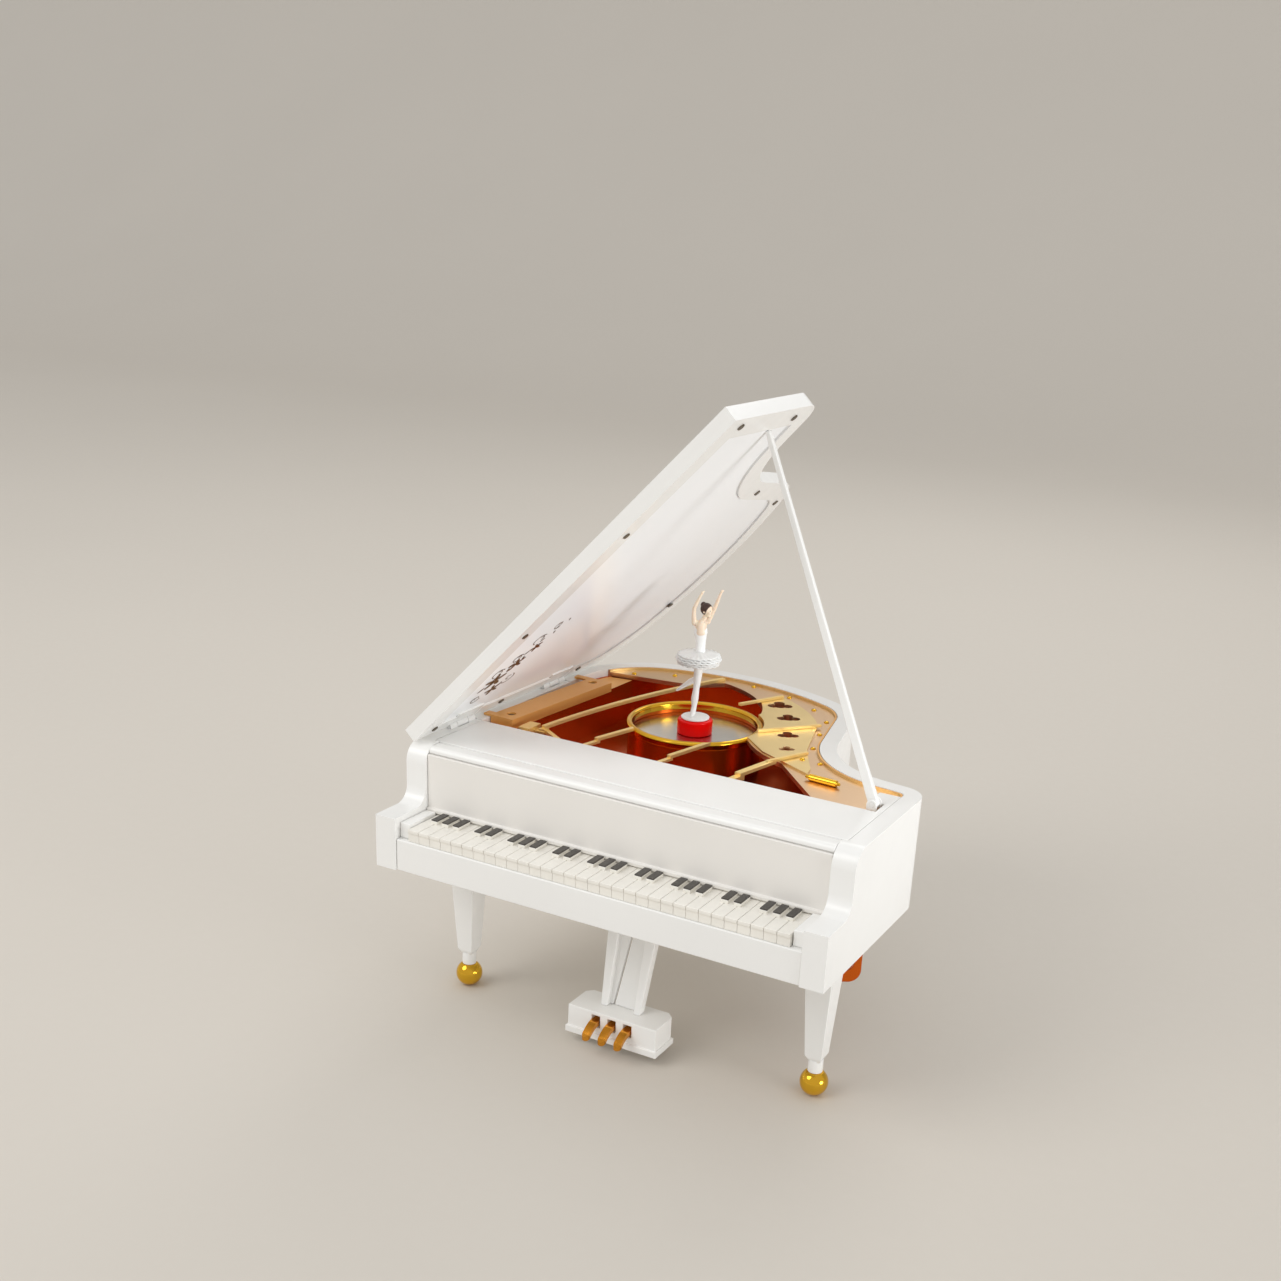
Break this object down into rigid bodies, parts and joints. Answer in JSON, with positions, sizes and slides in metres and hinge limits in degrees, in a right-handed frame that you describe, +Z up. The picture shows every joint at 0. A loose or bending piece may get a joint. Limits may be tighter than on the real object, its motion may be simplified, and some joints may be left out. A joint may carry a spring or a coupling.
{
  "type": "ballerina jewellery box",
  "caption": "Musical jewellery box shaped as a small grand piano: hinged lid on a prop, keyboard, open tray and a dancer turning on a mirror stage.",
  "frame": {"origin": "middle of the bounding box at floor level, lid propped open", "axes": "+X to the treble side, away from the lid hinges; +Y from the keyboard to the tail; +Z up"},
  "size_m": [0.1514, 0.1486, 0.1978],
  "materials": {
    "white_gloss": "gloss",
    "lid_lining": "gloss",
    "ivory_keys": "gloss",
    "black_keys": "gloss",
    "champagne_gold": "satin",
    "amber_tray": "gloss",
    "bright_gold": "polished",
    "mirror_glass": "polished",
    "steel": "satin",
    "movement_brass": "satin",
    "carrier_plastic": "matte",
    "magnet_ceramic": "matte",
    "belt_rubber": "matte",
    "red_base": "gloss",
    "skin_tone": "matte",
    "dress_white": "matte",
    "hair_brown": "matte"
  },
  "bodies": {
    "case": {"case_shell": "white_gloss", "bottom_cover": "white_gloss", "key_bed": "white_gloss", "key_slip": "white_gloss", "key_blocks": "white_gloss", "white_keys": "ivory_keys", "black_keys": "black_keys", "name_board": "white_gloss", "front_ledge": "white_gloss", "top_board": "white_gloss", "gold_tray": "amber_tray", "gold_plate": "champagne_gold", "plate_rivets": "bright_gold", "hitch_rail": "bright_gold", "string_bars": "champagne_gold", "bass_box": "champagne_gold", "mirror_drum": "amber_tray", "mirror_disc": "mirror_glass", "mirror_ring": "bright_gold", "leg_front_left": "white_gloss", "leg_front_right": "white_gloss", "leg_tail": "white_gloss", "ball_foot_front_left": "bright_gold", "ball_foot_front_right": "bright_gold", "ball_foot_tail": "bright_gold", "pedal_lyre": "white_gloss", "pedal_box": "white_gloss", "pedals": "bright_gold", "hinge_case_leaves": "bright_gold", "hinge_pins": "bright_gold", "prop_bracket": "bright_gold", "prop_pin": "bright_gold", "carrier_pin": "steel", "drive_belt": "belt_rubber", "movement_bedplate": "movement_brass", "music_comb": "steel", "comb_block": "movement_brass", "movement_bridge": "movement_brass", "movement_screws": "steel", "bottom_screws": "steel"},
    "lid": {"lid_shell": "white_gloss", "lid_liner": "lid_lining", "lid_screws": "steel", "hinge_lid_leaves": "bright_gold"},
    "prop": {"lid_prop": "white_gloss"},
    "barrel": {"spring_barrel": "movement_brass", "mainspring": "steel"},
    "winding": {"winding_arbor": "steel", "winding_key": "bright_gold"},
    "carrier": {"magnet_carrier": "carrier_plastic", "carrier_magnets": "magnet_ceramic"},
    "cylinder": {"music_cylinder": "movement_brass"},
    "fly": {"governor": "movement_brass"},
    "dancer": {"dancer_base": "red_base", "dancer_magnet": "magnet_ceramic", "dancer_figure": "skin_tone", "dancer_tutu": "dress_white", "dancer_hair": "hair_brown"}
  },
  "joints": [
    {"name": "lid_hinge", "type": "hinge", "parent": "case", "child": "lid", "pos_m": [-0.07248, -0.0063, 0.0873], "axis": [0, -1, 0], "range_deg": [0, 40]},
    {"name": "prop_fold", "type": "hinge", "parent": "case", "child": "prop", "pos_m": [0.06592, -0.0225, 0.0877], "axis": [0, -1, 0], "range_deg": [0, 64]},
    {"name": "barrel_turn", "type": "hinge", "parent": "case", "child": "barrel", "pos_m": [0.05372, -0.01829, 0.062], "axis": [0, 0, 1], "continuous": true},
    {"name": "winding_turn", "type": "hinge", "parent": "case", "child": "winding", "pos_m": [0.05372, -0.01829, 0.055], "axis": [0, 0, 1], "continuous": true},
    {"name": "carrier_turn", "type": "hinge", "parent": "case", "child": "carrier", "pos_m": [-0.01378, 0.0177, 0.07], "axis": [0, 0, 1], "continuous": true},
    {"name": "cylinder_turn", "type": "hinge", "parent": "case", "child": "cylinder", "pos_m": [0.04825, -0.03333, 0.068], "axis": [0, 0, 1], "continuous": true},
    {"name": "fly_turn", "type": "hinge", "parent": "case", "child": "fly", "pos_m": [0.04075, -0.03333, 0.068], "axis": [0, 0, 1], "continuous": true},
    {"name": "dancer_lift", "type": "slide", "parent": "carrier", "child": "dancer", "axis": [0, 0, 1], "range_m": [0, 0.006]}
  ],
  "couplings": [
    {"joint": "prop_fold", "follows": "lid_hinge", "ratio": 1.6},
    {"joint": "carrier_turn", "follows": "barrel_turn", "ratio": 1},
    {"joint": "cylinder_turn", "follows": "barrel_turn", "ratio": -3},
    {"joint": "fly_turn", "follows": "barrel_turn", "ratio": 6}
  ]
}
